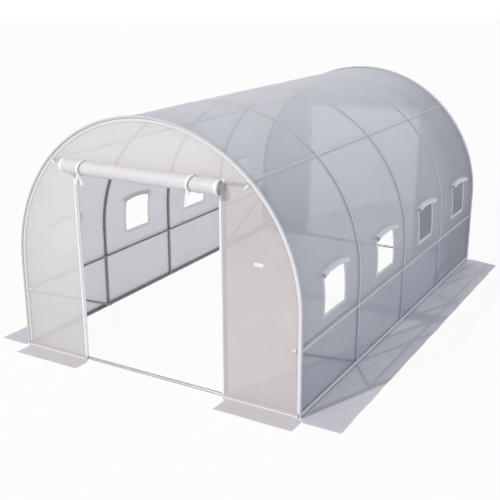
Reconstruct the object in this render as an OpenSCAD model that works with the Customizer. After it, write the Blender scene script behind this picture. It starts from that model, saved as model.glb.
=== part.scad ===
// Walk-in polytunnel greenhouse: a film cover on a tube frame, with an open
// roll-up door in each end and four windows along each side.
// Origin on the ground at the middle of the tunnel. X runs across, Y along and Z up.
// The front end looks towards -Y.

/* [Tunnel] */
// Width over the film at the ground
tunnel_w = 2530; // [2030:50:3230]
// Height of the straight part of the walls, below the round roof
wall_h = 735; // [705:10:955]
// Distance between the middles of neighbouring arches
bay_l = 1000; // [900:20:1300]
// Number of bays along the tunnel
bays = 4; // [4:1:4]

/* [Frame tubes] */
// Outside diameter of the arches, ground tubes, door posts and headers
arch_d = 25; // [19:1:32]
// Outside diameter of the purlins and diagonal braces
purlin_d = 20; // [16:1:25]
// Number of bent tubes in the round part of one arch
arch_bends = 6; // [3:1:8]
// Height of the side purlins above the ground
side_purlin_z = 500; // [350:10:540]
// Angle of the shoulder purlins above the start of the round roof
shoulder_a = 46.5; // [40:0.5:55]

/* [Film] */
// Thickness of the film in this model
film_t = 3; // [2:0.5:5]
// Width of the ground flaps along the sides
skirt_w = 315; // [205:10:445]
// Width of the ground flaps beside the doorways
end_skirt_w = 195; // [120:5:260]
// How far the outer edge of a side flap waves in and out
skirt_wave = 6; // [0:1:12]
// How far the side flaps reach past the end panels
skirt_over = 40; // [0:5:80]
// Diameter of the fold along the foot of the end panels
fold_d = 12; // [8:1:16]
// Radius of the round edging where the end panels meet the cover
edging_r = 18; // [10:1:22]

/* [Doorway] */
// Clear width of each doorway
door_w = 1285; // [910:25:1385]
// Height of the header tube above the ground
header_z = 1612; // [1462:10:1652]
// Width of the hem at each side of a doorway
hem_w = 20; // [12:1:30]
// How much the hem is thicker than the film
hem_t = 1.5; // [0.5:0.5:3]
// Diameter of the rolled-up door
roll_d = 116; // [76:2:130]
// Length of the rolled-up door
roll_l = 1380; // [1300:10:1500]
// How far the middle of the roll lies left of the doorway's middle
roll_shift = 25; // [0:5:100]
// Height of the middle of the roll above the ground
roll_z = 1598; // [1440:2:1608]
// Gap between the turns of the roll
roll_gap = 4; // [2:0.5:6]
// Width of the tapes that tie the roll
tie_w = 18; // [10:1:30]
// Thickness of the tie tapes
tie_t = 1.5; // [1:0.5:3]
// Length of the loose tails of the tapes
tie_tail = 70; // [40:5:120]

/* [Windows] */
// Width of a window opening
window_w = 340; // [250:10:450]
// Height of the lower edge of a window opening
window_z = 650; // [560:5:680]
// Height of the opening at its sides
window_h = 283; // [200:5:320]
// Rise of the arched upper edge
window_rise = 22; // [10:1:40]
// Width of the border strips round the opening
border_w = 30; // [15:1:45]
// Diameter of the rolled-up window flap
flap_d = 48; // [30:1:60]
// Length of the rolled-up window flap
flap_l = 430; // [300:5:520]
// How far the ends of the rolled flap hang down
flap_droop = 25; // [10:1:40]
// How far the right side's windows lie nearer the rear end than the middle of their bays
right_window_set = 30; // [0:5:60]

/* [Fit] */
// Clearance between pieces that rest against each other
gap = 0.3; // [0.2:0.05:0.5]

/* [Hidden] */
$fn = 72;

// The frame, from the film inwards
frame_l = bays * bay_l;
cover_r = tunnel_w / 2;
cover_in = cover_r - film_t;
arch_out = cover_in - gap;
arch_r = arch_out - arch_d / 2;
arch_in = arch_r - arch_d / 2;
purlin_r = arch_in - gap - purlin_d / 2;
bend_gap_a = gap / arch_r * 180 / PI;

// The ends, from the end arches outwards
end_arch_y = frame_l / 2;
frame_end = end_arch_y + arch_d / 2;
panel_in = frame_end + gap;
panel_out = panel_in + film_t;
panel_r = cover_in - gap;
post_x = door_w / 2 + arch_d / 2;
hem_out = panel_out + hem_t;
fold_y = panel_in + fold_d / 2;
fold_end = cover_r - edging_r - gap;

// The rolled door and its tapes
roll_r = roll_d / 2;
roll_y = hem_out + gap + roll_r;
roll_turns = floor((roll_r - film_t) / (film_t + roll_gap)) - 1;
roll_pitch = film_t + roll_gap;
turn_steps = 20;
strip_top = header_z + arch_d;
tie_x = [-520, 440];
tie_in = roll_r + gap;
tie_seam = [roll_r - film_t - gap, strip_top - roll_z];
tie_top_a = atan2(tie_seam[1], tie_seam[0]) + acos(tie_in / norm(tie_seam));
knot_d = 10;
tail_a = 24;

// The side flaps
wave_l = bay_l / 2;
wave_steps = 8;

// The windows
window_top = window_z + window_h + window_rise;
window_edge_r = (pow(window_w / 2, 2) + pow(window_rise, 2)) / (2 * window_rise);
border_t = 2;
border_in = cover_r + gap;
border_out = border_in + border_t;
flap_r = flap_d / 2;
flap_bend_r = (pow(flap_l / 2, 2) + pow(flap_droop, 2)) / (2 * flap_droop);
flap_half_a = asin(flap_l / 2 / flap_bend_r);
flap_z = window_top + border_t + flap_r;
flap_lift = border_out + gap + flap_r;
flap_a = asin((flap_z - wall_h) / flap_lift);

steel = "Silver";
film = "WhiteSmoke";
trim = "White";

module tube_y(x, z, d, l) {
  translate([x, 0, z]) rotate([90, 0, 0]) cylinder(d = d, h = l, center = true);
}

module tube_x(y, z, d, l) {
  translate([0, y, z]) rotate([0, 90, 0]) cylinder(d = d, h = l, center = true);
}

// A ring of tube about the axis of the round roof, in the plane of one arch
module arch_ring(y, d, start, sweep) {
  translate([0, y, wall_h]) rotate([90, 0, 0]) rotate([0, 0, start])
    rotate_extrude(angle = sweep, $fn = 5 * $fn) translate([arch_r, 0]) circle(d = d);
}

// One arch: bent tubes end to end, and a straight leg on each ground tube
module arch(y) {
  bend_a = 180 / arch_bends;
  color(steel) {
    for (i = [0 : arch_bends - 1])
      arch_ring(y, arch_d, i * bend_a + bend_gap_a / 2, bend_a - bend_gap_a);
    for (side = [-1, 1]) difference() {
      translate([side * arch_r, y, arch_d / 2]) cylinder(d = arch_d, h = wall_h - arch_d / 2 - gap / 2);
      tube_y(side * arch_r, arch_d / 2, arch_d + 2 * gap, frame_l + 2 * arch_d);
    }
  }
}

module purlin(x, z) {
  color(steel) tube_y(x, z, purlin_d, 2 * frame_end);
}

module side_purlin(side) {
  purlin(side * purlin_r, side_purlin_z);
}

module shoulder_purlin(side) {
  purlin(side * purlin_r * cos(shoulder_a), wall_h + purlin_r * sin(shoulder_a));
}

module ground_tube(side) {
  color(steel) tube_y(side * arch_r, arch_d / 2, arch_d, 2 * frame_end);
}

module front_sill_tube() {
  color(steel) tube_x(-end_arch_y, arch_d / 2, arch_d, 2 * (arch_in - gap));
}

// A brace in each end bay, from under the side purlin to the next arch's foot
module braces(side) {
  top_z = side_purlin_z - purlin_d;
  foot_z = 0.75 * purlin_d;
  run = bay_l;
  rise = top_z - foot_z;
  for (end = [-1, 1]) color(steel)
    translate([side * purlin_r, end * (end_arch_y - run), foot_z])
      rotate([-end * atan2(run, rise), 0, 0])
        cylinder(d = purlin_d, h = norm([run, rise]));
}

// Two posts on the sill tube, under the header tube
module front_door_posts() {
  for (side = [-1, 1]) color(steel) difference() {
    translate([side * post_x, -end_arch_y, arch_d / 2]) cylinder(d = arch_d, h = header_z - arch_d / 2);
    tube_x(-end_arch_y, arch_d / 2, arch_d + 2 * gap, tunnel_w);
    tube_x(-end_arch_y, header_z, arch_d + 2 * gap, tunnel_w);
  }
}

// The header tube, with its ends shaped to the arch
module front_header() {
  color(steel) difference() {
    tube_x(-end_arch_y, header_z, arch_d, 2 * sqrt(pow(arch_r, 2) - pow(header_z - wall_h, 2)));
    arch_ring(-end_arch_y, arch_d + 2 * gap, 0, 180);
  }
}

// The cross-section of the tunnel: straight walls under a half circle
module tunnel_outline(r) {
  translate([0, wall_h]) circle(r = r, $fn = 180);
  translate([-r, 0]) square([2 * r, wall_h]);
}

// A prism along Y between two heights of the tunnel's section
module tunnel_shell(r_in, r_out, l) {
  rotate([90, 0, 0]) linear_extrude(height = l, center = true) difference() {
    tunnel_outline(r_out);
    tunnel_outline(r_in);
    translate([-r_out - 1, -tunnel_w]) square([2 * r_out + 2, tunnel_w]);
  }
}

// A wedge that takes in the roof between the shoulder purlins
module roof_wedge(trim_gap) {
  reach = tunnel_w;
  a = shoulder_a;
  rotate([90, 0, 0]) linear_extrude(height = 2 * frame_l, center = true)
    translate([0, wall_h + trim_gap / cos(a)]) polygon([
      [0, 0], [reach * cos(a), reach * sin(a)],
      [0, 2 * reach], [-reach * cos(a), reach * sin(a)]
    ]);
}

// The outline of a window opening, widened by a border and, above it, by a head strip
module window_outline(border, head) {
  half = window_w / 2 + border;
  intersection() {
    translate([-half, window_z - border]) square([2 * half, window_top + head - window_z + border]);
    translate([0, window_top - window_edge_r]) circle(r = window_edge_r + head, $fn = 180);
  }
}

// The middle of a bay along the tunnel, and the place of its window on one side
function bay_y(i) = (i - (bays + 1) / 2) * bay_l;
function window_y(side, i) = bay_y(i) + (side > 0 ? right_window_set : 0);

module window_prism(side, i, border, head) {
  translate([side * cover_r, window_y(side, i), 0]) rotate([90, 0, 90])
    linear_extrude(height = cover_r, center = true) window_outline(border, head);
}

module side_cover(side) {
  color(film) difference() {
    intersection() {
      tunnel_shell(cover_in, cover_r, 2 * panel_out);
      translate([side > 0 ? 0 : -tunnel_w, -frame_l, 0]) cube([tunnel_w, 2 * frame_l, 2 * tunnel_w]);
    }
    roof_wedge(-gap / 2);
    for (i = [1 : bays]) window_prism(side, i, 0, 0);
  }
}

module roof_cover() {
  color(film) intersection() {
    tunnel_shell(cover_in, cover_r, 2 * panel_out);
    roof_wedge(gap / 2);
  }
}

// An end panel of film between two positions across, above a height
module end_panel(x_from, x_to, z_from) {
  translate([0, -panel_in, 0]) rotate([90, 0, 0]) linear_extrude(height = film_t) intersection() {
    tunnel_outline(panel_r);
    translate([x_from, z_from]) square([x_to - x_from, tunnel_w]);
  }
}

// A side panel of the front end, with the hem along the doorway and the fold along its foot
module front_side_panel(side) {
  inner = door_w / 2;
  color(film) {
    end_panel(side > 0 ? inner : -panel_r, side > 0 ? panel_r : -inner, 0);
    translate([side > 0 ? inner : -inner - hem_w, -hem_out, film_t])
      cube([hem_w, hem_t + film_t / 2, header_z - film_t]);
    translate([side * (inner + fold_end) / 2, -fold_y, film_t + gap + fold_d / 2])
      rotate([0, 90, 0]) cylinder(d = fold_d, h = fold_end - inner, center = true);
  }
}

module front_top_panel() {
  color(film) end_panel(-door_w / 2 + gap, door_w / 2 - gap, header_z - arch_d / 2);
}

// The points of a spiral that winds inwards, starting downwards
function spiral(turns, r_start, pitch) = [
  for (i = [0 : turns * turn_steps])
    let (a = -360 * i / turn_steps, r = r_start - pitch * i / turn_steps)
      [r * cos(a), r * sin(a)]
];

// The door sheet: down the panel from above the header, then rolled up outwards
module front_door_roll() {
  outer = spiral(roll_turns, roll_r, roll_pitch);
  inner = spiral(roll_turns, roll_r - film_t, roll_pitch);
  strip = [[roll_r - film_t, strip_top - roll_z], [roll_r, strip_top - roll_z]];
  back = [for (i = [len(inner) - 1 : -1 : 0]) inner[i]];
  color(film) translate([-roll_shift, -roll_y, roll_z]) rotate([90, 0, 90])
    linear_extrude(height = roll_l, center = true) polygon(concat(strip, outer, back));
}

// Two tapes from the door's seam over the front of the roll, each with a knot
// under it and two loose tails
module front_roll_ties() {
  reach = sqrt(pow(norm(tie_seam), 2) - pow(tie_in, 2));
  for (x = tie_x) color(trim) translate([x, -roll_y, roll_z]) {
    rotate([90, 0, 90]) rotate([0, 0, tie_top_a]) {
      translate([tie_in, -reach, -tie_w / 2]) cube([tie_t, reach, tie_w]);
      rotate_extrude(angle = 270 - tie_top_a) translate([tie_in, -tie_w / 2]) square([tie_t, tie_w]);
    }
    translate([0, 0, -tie_in - knot_d / 2]) sphere(d = knot_d);
    for (lean = [-1, 1]) translate([0, 0, -tie_in - knot_d / 2]) rotate([0, lean * tail_a, 0])
      translate([-tie_w / 2, -tie_t / 2, -tie_tail]) cube([tie_w, tie_t, tie_tail]);
  }
}

// A window: border strips on the cover, and the flap rolled up above it
module window(side, i) {
  color(trim) difference() {
    intersection() {
      tunnel_shell(border_in, border_out, frame_l);
      window_prism(side, i, border_w, border_w + flap_r);
    }
    window_prism(side, i, 0, 0);
  }
  color(film) translate([0, window_y(side, i), wall_h]) rotate([0, side > 0 ? -flap_a : 180 + flap_a, 0])
    translate([flap_lift, 0, -side * flap_bend_r]) rotate([90, 0, 90])
      rotate([0, 0, side > 0 ? 90 - flap_half_a : -90 - flap_half_a])
        rotate_extrude(angle = 2 * flap_half_a) translate([flap_bend_r, 0]) circle(r = flap_r);
}

// A ground flap along one side, with a slightly waving outer edge
module skirt(side) {
  steps = wave_steps * 2 * bays;
  length = 2 * (panel_out + skirt_over);
  edge = [
    for (i = [0 : steps])
      let (y = -length / 2 + length * i / steps)
        [cover_r + skirt_w - skirt_wave * (1 - cos(360 * y / wave_l)) / 2, y]
  ];
  color(film) scale([side, 1, 1]) linear_extrude(height = film_t)
    polygon(concat(edge, [[cover_r, length / 2], [cover_r, -length / 2]]));
}

// The two ground flaps beside the front doorway
module front_skirts() {
  color(film) for (side = [-1, 1])
    translate([side > 0 ? door_w / 2 : gap - cover_r, -panel_out - end_skirt_w, 0])
      cube([cover_r - gap - door_w / 2, end_skirt_w, film_t]);
}

// The section of the edging, about the corner of cover and panel
module edging_section() {
  difference() {
    translate([cover_r + gap, 0]) circle(r = edging_r);
    translate([0, -2 * edging_r]) square([cover_r + gap, 2 * edging_r]);
  }
}

module front_edging() {
  translate([0, -panel_out - gap, 0]) {
    translate([0, 0, wall_h]) rotate([90, 0, 0]) rotate_extrude(angle = 180) edging_section();
    for (side = [0, 1]) mirror([side, 0, 0]) translate([0, 0, film_t + gap])
      mirror([0, 1, 0]) linear_extrude(height = wall_h - film_t - gap) edging_section();
  }
}

// The mirror images at the rear end
module to_rear() {
  rotate([0, 0, 180]) children();
}

module edging() {
  color(trim) {
    front_edging();
    to_rear() front_edging();
  }
}

arch(bay_y(0.5));  // front_arch
arch(bay_y(1.5));  // second_arch
arch(bay_y(2.5));  // middle_arch
arch(bay_y(3.5));  // fourth_arch
arch(bay_y(4.5));  // rear_arch
side_purlin(-1);  // left_side_purlin
side_purlin(1);  // right_side_purlin
shoulder_purlin(-1);  // left_shoulder_purlin
shoulder_purlin(1);  // right_shoulder_purlin
ground_tube(-1);  // left_ground_tube
ground_tube(1);  // right_ground_tube
front_sill_tube();
to_rear() front_sill_tube();  // rear_sill_tube
braces(-1);  // left_braces
braces(1);  // right_braces
front_door_posts();
to_rear() front_door_posts();  // rear_door_posts
front_header();
to_rear() front_header();  // rear_header
side_cover(-1);  // left_side_cover
roof_cover();
side_cover(1);  // right_side_cover
front_side_panel(-1);  // front_left_panel
front_side_panel(1);  // front_right_panel
front_top_panel();
to_rear() front_side_panel(1);  // rear_left_panel
to_rear() front_side_panel(-1);  // rear_right_panel
to_rear() front_top_panel();  // rear_top_panel
window(-1, 1);  // left_window_1
window(-1, 2);  // left_window_2
window(-1, 3);  // left_window_3
window(-1, 4);  // left_window_4
window(1, 1);  // right_window_1
window(1, 2);  // right_window_2
window(1, 3);  // right_window_3
window(1, 4);  // right_window_4
front_door_roll();
to_rear() front_door_roll();  // rear_door_roll
front_roll_ties();
to_rear() front_roll_ties();  // rear_roll_ties
skirt(-1);  // left_skirt
skirt(1);  // right_skirt
front_skirts();
to_rear() front_skirts();  // rear_skirts
edging();
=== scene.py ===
import math

import bmesh
import bpy
from mathutils import Matrix, Vector, noise


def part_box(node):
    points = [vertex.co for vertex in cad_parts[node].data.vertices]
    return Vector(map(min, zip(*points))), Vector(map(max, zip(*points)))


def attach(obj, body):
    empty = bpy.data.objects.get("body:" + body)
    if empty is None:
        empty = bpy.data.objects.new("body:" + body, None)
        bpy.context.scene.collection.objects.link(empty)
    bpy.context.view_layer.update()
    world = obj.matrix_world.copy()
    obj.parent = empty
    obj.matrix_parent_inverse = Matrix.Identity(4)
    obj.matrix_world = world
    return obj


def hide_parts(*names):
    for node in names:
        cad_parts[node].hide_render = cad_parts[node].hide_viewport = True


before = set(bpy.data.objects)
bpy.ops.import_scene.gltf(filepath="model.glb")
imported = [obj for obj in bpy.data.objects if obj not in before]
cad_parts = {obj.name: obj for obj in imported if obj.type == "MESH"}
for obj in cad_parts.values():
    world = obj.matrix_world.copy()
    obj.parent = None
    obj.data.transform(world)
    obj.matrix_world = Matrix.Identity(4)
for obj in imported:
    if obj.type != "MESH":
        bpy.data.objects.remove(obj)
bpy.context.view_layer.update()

# Camera: the view from in front of the right corner, a little above the roof.
# It comes first, and all that follows stands in the frame that it looks at.
scene = bpy.context.scene
view_lens = bpy.data.cameras.new("Camera")
view_lens.sensor_width = 36.0
view_lens.lens = 60.84
camera = bpy.data.objects.new("Camera", view_lens)
looks_down = 0.3115
turned_left = 0.5221
camera.location = (3.584, -6.745, 2.928)
camera.rotation_euler = (math.pi / 2 - looks_down, 0.0, turned_left)
scene.collection.objects.link(camera)
scene.camera = camera
scene.view_settings.view_transform = "Standard"

# Floor and light: a white floor under an even sky, and one soft sun from the front left.
# The floor and the sky show as white, while the light that they give stays at a plain level.
floor_r = 60.0
floor_drop = 0.0005
white = (1.0, 1.0, 1.0, 1.0)
sky_light = (0.86, 0.925, 1.0, 1.0)
sky_strength = 0.56
floor_shade = (0.90, 0.90, 0.91, 1.0)
floor_glow_share = 0.92
sun_travel = Vector((0.42, 1.06, -0.75))
sun_strength = 1.55
sun_spread = 0.025
sun_colour = (1.0, 0.95, 0.90)


def add(tree, kind, inputs=None, **settings):
    """Adds a shader node, fills each input with a value or a link, and gives the outputs."""
    made = tree.nodes.new("ShaderNode" + kind)
    for name, value in settings.items():
        setattr(made, name, value)
    for name, value in (inputs or {}).items():
        if isinstance(value, bpy.types.NodeSocket):
            tree.links.new(value, made.inputs[name])
        else:
            made.inputs[name].default_value = value
    return made.outputs


def sums(tree, operation, first, second=0.0, third=0.0):
    """The result of one sum on up to three values."""
    return add(tree, "Math", {0: first, 1: second, 2: third}, operation=operation)[0]


def looked_at(tree):
    """1 for rays from the eye and for those that metal or clear film sends on, otherwise 0."""
    ray = add(tree, "LightPath")
    mirrored = sums(tree, "MAXIMUM", ray["Is Glossy Ray"], ray["Is Transmission Ray"])
    mirrored = sums(tree, "SUBTRACT", mirrored, ray["Is Diffuse Ray"])
    return sums(tree, "MAXIMUM", ray["Is Camera Ray"], mirrored)


sky = bpy.data.worlds.new("Sky")
scene.world = sky
sky.use_nodes = True
sky_tree = sky.node_tree
sky_tree.nodes.clear()
lit_sky = add(sky_tree, "Background", {"Color": sky_light, "Strength": sky_strength})
white_sky = add(sky_tree, "Background", {"Color": white, "Strength": 1.0})
shown_sky = add(sky_tree, "MixShader",
                {0: looked_at(sky_tree), 1: lit_sky[0], 2: white_sky[0]})
add(sky_tree, "OutputWorld", {"Surface": shown_sky[0]})

sun_lamp = bpy.data.lights.new("Sun", "SUN")
sun_lamp.energy = sun_strength
sun_lamp.angle = sun_spread
sun_lamp.color = sun_colour
sun = bpy.data.objects.new("Sun", sun_lamp)
sun.rotation_euler = sun_travel.to_track_quat("-Z", "Y").to_euler()
scene.collection.objects.link(sun)


def new_finish(name):
    """An empty material and its node tree."""
    finish = bpy.data.materials.new(name)
    finish.use_nodes = True
    finish.node_tree.nodes.clear()
    return finish, finish.node_tree


floor_finish, floor_tree = new_finish("White floor")
floor_matt = add(floor_tree, "BsdfDiffuse", {"Color": floor_shade})
floor_white = add(floor_tree, "Emission", {"Color": white, "Strength": 1.0})
film_between = add(floor_tree, "LightPath")["Transparent Depth"]
seen_bare = sums(floor_tree, "LESS_THAN", film_between, 0.5)
floor_glow = sums(floor_tree, "MULTIPLY", looked_at(floor_tree), seen_bare)
floor_glow = sums(floor_tree, "MULTIPLY", floor_glow, floor_glow_share)
floor_mix = add(floor_tree, "MixShader",
                {0: floor_glow, 1: floor_matt[0], 2: floor_white[0]})
add(floor_tree, "OutputMaterial", {"Surface": floor_mix[0]})

floor_shape = bmesh.new()
bmesh.ops.create_circle(floor_shape, cap_ends=True, segments=64, radius=floor_r,
                        matrix=Matrix.Translation((0, 0, -floor_drop)))
floor_mesh = bpy.data.meshes.new("Floor")
floor_shape.to_mesh(floor_mesh)
floor_shape.free()
floor_mesh.materials.append(floor_finish)
floor = bpy.data.objects.new("Floor", floor_mesh)
scene.collection.objects.link(floor)

# Tube frame: thin galvanised steel tube, bent for the arches and straight for the rest.
# The arches stand on ground tubes, and purlins and braces run along them inside the cover.
# The front sill and the door posts get paler copies of the steel's colours: painted light, so that they show
# brighter than the tubes inside.
steel_shades = ((0.20, 0.21, 0.225, 1.0), (0.36, 0.37, 0.40, 1.0))
# Painted light: lit copies of the steel colour for the sill and the door posts.
sill_lit_shades = ((0.46, 0.46, 0.48, 1.0), (0.58, 0.58, 0.60, 1.0))
post_lit_shades = ((0.80, 0.80, 0.82, 1.0), (0.88, 0.88, 0.90, 1.0))
spangle_scale = 140.0
streak_scale = 9.0
smoothest, roughest = 0.18, 0.34


def clouds(tree, place, scale, detail, distortion=0.0):
    """A cloudy pattern on a place, from 0 to 1."""
    return add(tree, "TexNoise", {"Vector": place, "Scale": scale, "Detail": detail,
                                            "Distortion": distortion})["Fac"]


def ramp(tree, value, start, stop, low=0.0, high=1.0, kind="LINEAR"):
    """Goes from low to high while a value goes from start to stop."""
    return add(tree, "MapRange", {0: value, 1: start, 2: stop, 3: low, 4: high},
               interpolation_type=kind)[0]


def mixed(tree, share, first, second):
    """A colour between two, by the share of the second."""
    return add(tree, "Mix", {0: share, 6: first, 7: second}, data_type="RGBA")[2]


def relief(tree, height, strength, depth):
    """Small bumps of a depth, from a pattern of heights."""
    return add(tree, "Bump", {"Height": height, "Strength": strength, "Distance": depth})[0]


def steel(name, shades):
    """Zinc-coated steel: spangled in two shades, with streaks that are a little rougher."""
    finish, tree = new_finish(name)
    place = add(tree, "TexCoord")["Object"]
    spangle = add(tree, "TexVoronoi", {"Vector": place, "Scale": spangle_scale})["Distance"]
    streak = clouds(tree, place, streak_scale, 5.0)
    colour = mixed(tree, sums(tree, "MULTIPLY", spangle, streak), *shades)
    rough = ramp(tree, streak, 0.0, 1.0, smoothest, roughest)
    skin = add(tree, "BsdfPrincipled", {"Base Color": colour, "Metallic": 0.9, "Roughness": rough,
                                                  "Normal": relief(tree, spangle, 0.08, 0.0005)})[0]
    add(tree, "OutputMaterial", {"Surface": skin})
    return finish


ends = ("front", "rear")
sides = (("left", -1), ("right", 1))
steel_finish = steel("Galvanised steel", steel_shades)
# Painted light: the sill and the door posts take the paler, lit copies of the steel.
lit_sill_finish = steel("Galvanised steel with painted light", sill_lit_shades)
lit_post_finish = steel("Zinc with painted light", post_lit_shades)
lit_tubes = {"front_sill_tube": lit_sill_finish, "front_door_posts": lit_post_finish, "rear_door_posts": lit_post_finish}
arches = ["front_arch", "second_arch", "middle_arch", "fourth_arch", "rear_arch"]
straight_tubes = [f"{name}_{kind}" for name, _ in sides
                  for kind in ("side_purlin", "shoulder_purlin", "ground_tube", "braces")]
end_tubes = [f"{end}_{kind}" for end in ends for kind in ("sill_tube", "door_posts", "header")]
for name in arches + straight_tubes + end_tubes:
    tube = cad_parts[name]
    tube.data.materials.clear()
    tube.data.materials.append(lit_tubes.get(name, steel_finish))

# Tube joints: each arch is pushed together from bent tubes and legs, with a pressed collar at each joint.
# A screw goes through each collar, and a bolt with a round head holds each purlin to each arch.
arch_low, arch_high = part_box("front_arch")
tube_r = (arch_high.y - arch_low.y) / 2
arch_r = arch_high.x - tube_r
wall_h = arch_high.z - arch_high.x
end_arch_y = -(arch_low.y + arch_high.y) / 2
bay_l = 2 * end_arch_y / (len(arches) - 1)
arch_ys = [i * bay_l - end_arch_y for i in range(len(arches))]
bends = 6
collar_l = 0.055
collar_lift = 0.0011
lip_lift = 0.0001
lip_l = 0.0015
screw_r = 0.0042
purlin_low, purlin_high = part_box("right_side_purlin")
purlin_r = (purlin_high.z - purlin_low.z) / 2
purlin_x = purlin_high.x - purlin_r
purlin_z = purlin_high.z - purlin_r
shoulder_low, shoulder_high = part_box("right_shoulder_purlin")
shoulder_place = (shoulder_high + shoulder_low) / 2
shoulder_place = Vector((shoulder_place.x, 0, shoulder_place.z - wall_h))
bolt_r = 0.0065
bolt_l = 0.005
bolt_sunk = 0.0005


def make_piece(name, shape, finish, slot, *nodes):
    """A finished piece that rides with the tunnel and stands for the CAD nodes that are named."""
    mesh = bpy.data.meshes.new(name)
    shape.to_mesh(mesh)
    shape.free()
    mesh.materials.append(finish)
    mesh.shade_smooth()
    mesh.set_sharp_from_angle(angle=math.radians(40))
    piece = bpy.data.objects.new(name, mesh)
    scene.collection.objects.link(piece)
    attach(piece, "root")
    if nodes:
        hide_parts(*nodes)
    return piece


def face_out(shape):
    """Turns the faces of a closed shape outwards."""
    bmesh.ops.recalc_face_normals(shape, faces=shape.faces)


def aimed(along):
    """The turn that takes a shape built along Z into a direction."""
    return Vector(along).to_track_quat("Z", "Y").to_matrix().to_4x4()


def add_collar(shape, y, a):
    """A pressed collar at an angle of an arch, with rounded lips and one screw head on its inner side."""
    place = Vector((arch_r * math.cos(a), y, wall_h + arch_r * math.sin(a)))
    ring = bmesh.ops.create_cone(shape, cap_ends=False, segments=20, radius1=tube_r + collar_lift,
                                 radius2=tube_r + collar_lift, depth=collar_l)["verts"]
    rims = {e for v in ring for e in v.link_edges if e.is_boundary}
    lips = bmesh.ops.extrude_edge_only(shape, edges=list(rims))["geom"]
    for lip in lips:
        if isinstance(lip, bmesh.types.BMVert):
            lip.co.xy *= (tube_r + lip_lift) / (tube_r + collar_lift)
            lip.co.z += math.copysign(lip_l, lip.co.z)
            ring.append(lip)
    turn = aimed((-math.sin(a), 0, math.cos(a)))
    bmesh.ops.transform(shape, matrix=Matrix.Translation(place) @ turn, verts=ring)
    inwards = (Vector((0, y, wall_h)) - place).normalized()
    head = bmesh.ops.create_uvsphere(shape, u_segments=10, v_segments=6, radius=screw_r)["verts"]
    flat = Matrix.Diagonal((1, 1, 0.5, 1))
    seat = place + inwards * (tube_r + collar_lift)
    bmesh.ops.transform(shape, matrix=Matrix.Translation(seat) @ aimed(inwards) @ flat, verts=head)


joints = bmesh.new()
for y in arch_ys:
    for k in range(bends + 1):
        add_collar(joints, y, math.pi * k / bends)
face_out(joints)
make_piece("arch_joints", joints, steel_finish, "tube")

bolts = bmesh.new()
for y in arch_ys:
    for _, side in sides:
        for x, z, away in (
            (purlin_x, purlin_z, Vector((-1, 0, 0))),
            (shoulder_place.x, shoulder_place.z + wall_h, -shoulder_place.normalized()),
        ):
            seat = Vector((side * x, y, z))
            away = Vector((side * away.x, 0, away.z))
            head = bmesh.ops.create_cone(bolts, cap_ends=True, segments=12, radius1=bolt_r,
                                         radius2=bolt_r * 0.7, depth=bolt_l)["verts"]
            move = Matrix.Translation(seat + away * (purlin_r + bolt_l / 2 - bolt_sunk)) @ aimed(away)
            bmesh.ops.transform(bolts, matrix=move, verts=head)
make_piece("purlin_bolts", bolts, steel_finish, "tube")

# Cover: one wide sheet of milky film with a thread grid in it, stretched over all five arches.
# It is sewn from three widths along the tunnel, sinks a little between arches, and has eight window holes.
cover_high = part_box("roof_cover")[1]
film_edge_y = cover_high.y - 0.001
film_r = cover_high.z - wall_h - 0.0016
film_t = 0.001
foot_z = 0.004
window_w = 0.340
window_z = 0.650
window_side_z = 0.933
window_top_z = 0.955
roof_sink = 0.002
wall_sink = 0.004
hand_pull = 0.0025
thread_pitch = 0.008
thread_scale = 2 * math.pi / 20 / thread_pitch
sunlight_pass = (0.79, 0.79, 0.80, 1.0)
film_rough = 0.42
darkest_tone = 0.90
cloud_scale, cloud_tone = 2.3, 0.12
speckle_scale, speckle_tone = 26.0, 0.05
thread_tone, thread_height, thread_cover = 0.04, 0.03, 0.6
painted_shade_tone = -0.22
wrinkle_scale, wrinkle_twist, wrinkle_depth = 7.0, 0.6, 0.006


def vectors(tree, operation, first, second=(0, 0, 0)):
    """The result of one sum on places or colours."""
    made = add(tree, "VectorMath", {0: first, 1: second}, operation=operation)
    return made["Value"] if operation == "DOT_PRODUCT" else made["Vector"]


def split(tree, place):
    """The X, Y and Z of a place."""
    return add(tree, "SeparateXYZ", {0: place})


def soft_band(tree, value, middle, half_width, softness):
    """1 where a value is within a half width of a middle, going softly to 0 beyond it."""
    distance = sums(tree, "ABSOLUTE", sums(tree, "SUBTRACT", value, middle))
    return ramp(tree, distance, half_width - softness, half_width + softness, 1.0, 0.0, "SMOOTHSTEP")


def weave(tree, place, scale, *directions):
    """Fine waves across a place, one pattern for each direction."""
    return [add(tree, "TexWave", {"Vector": place, "Scale": scale},
                wave_type="BANDS", bands_direction=d)["Fac"] for d in directions]


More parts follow.
